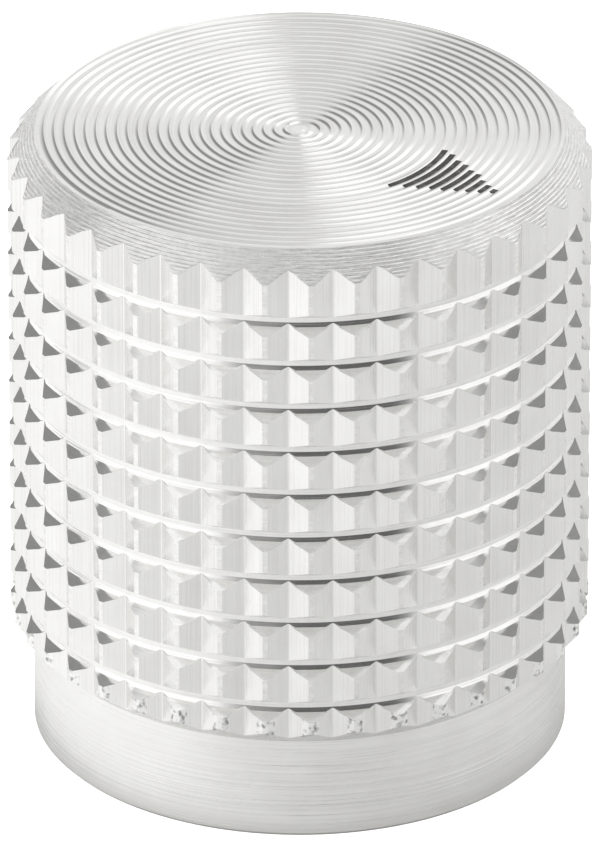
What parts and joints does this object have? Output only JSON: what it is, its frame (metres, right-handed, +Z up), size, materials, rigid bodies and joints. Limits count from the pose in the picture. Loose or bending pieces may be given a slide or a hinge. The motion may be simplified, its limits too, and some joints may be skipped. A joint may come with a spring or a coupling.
{
  "type": "control knob",
  "caption": "Turned aluminium control knob with a square-cut knurled grip, plain collar, painted pointer and a blind bore for a round shaft.",
  "frame": {"origin": "centre of the underside, on the knob's axis", "axes": "+Z up the knob's axis towards the face; the pointer points along +Y"},
  "size_m": [0.019, 0.019, 0.0214],
  "materials": {
    "knob_body": "bright turned, unanodised",
    "set_screw": "satin",
    "pointer_paint": "matt black paint"
  },
  "bodies": {
    "root": {"knob_body": "knob_body", "set_screw": "set_screw", "pointer_paint": "pointer_paint"}
  },
  "joints": []
}
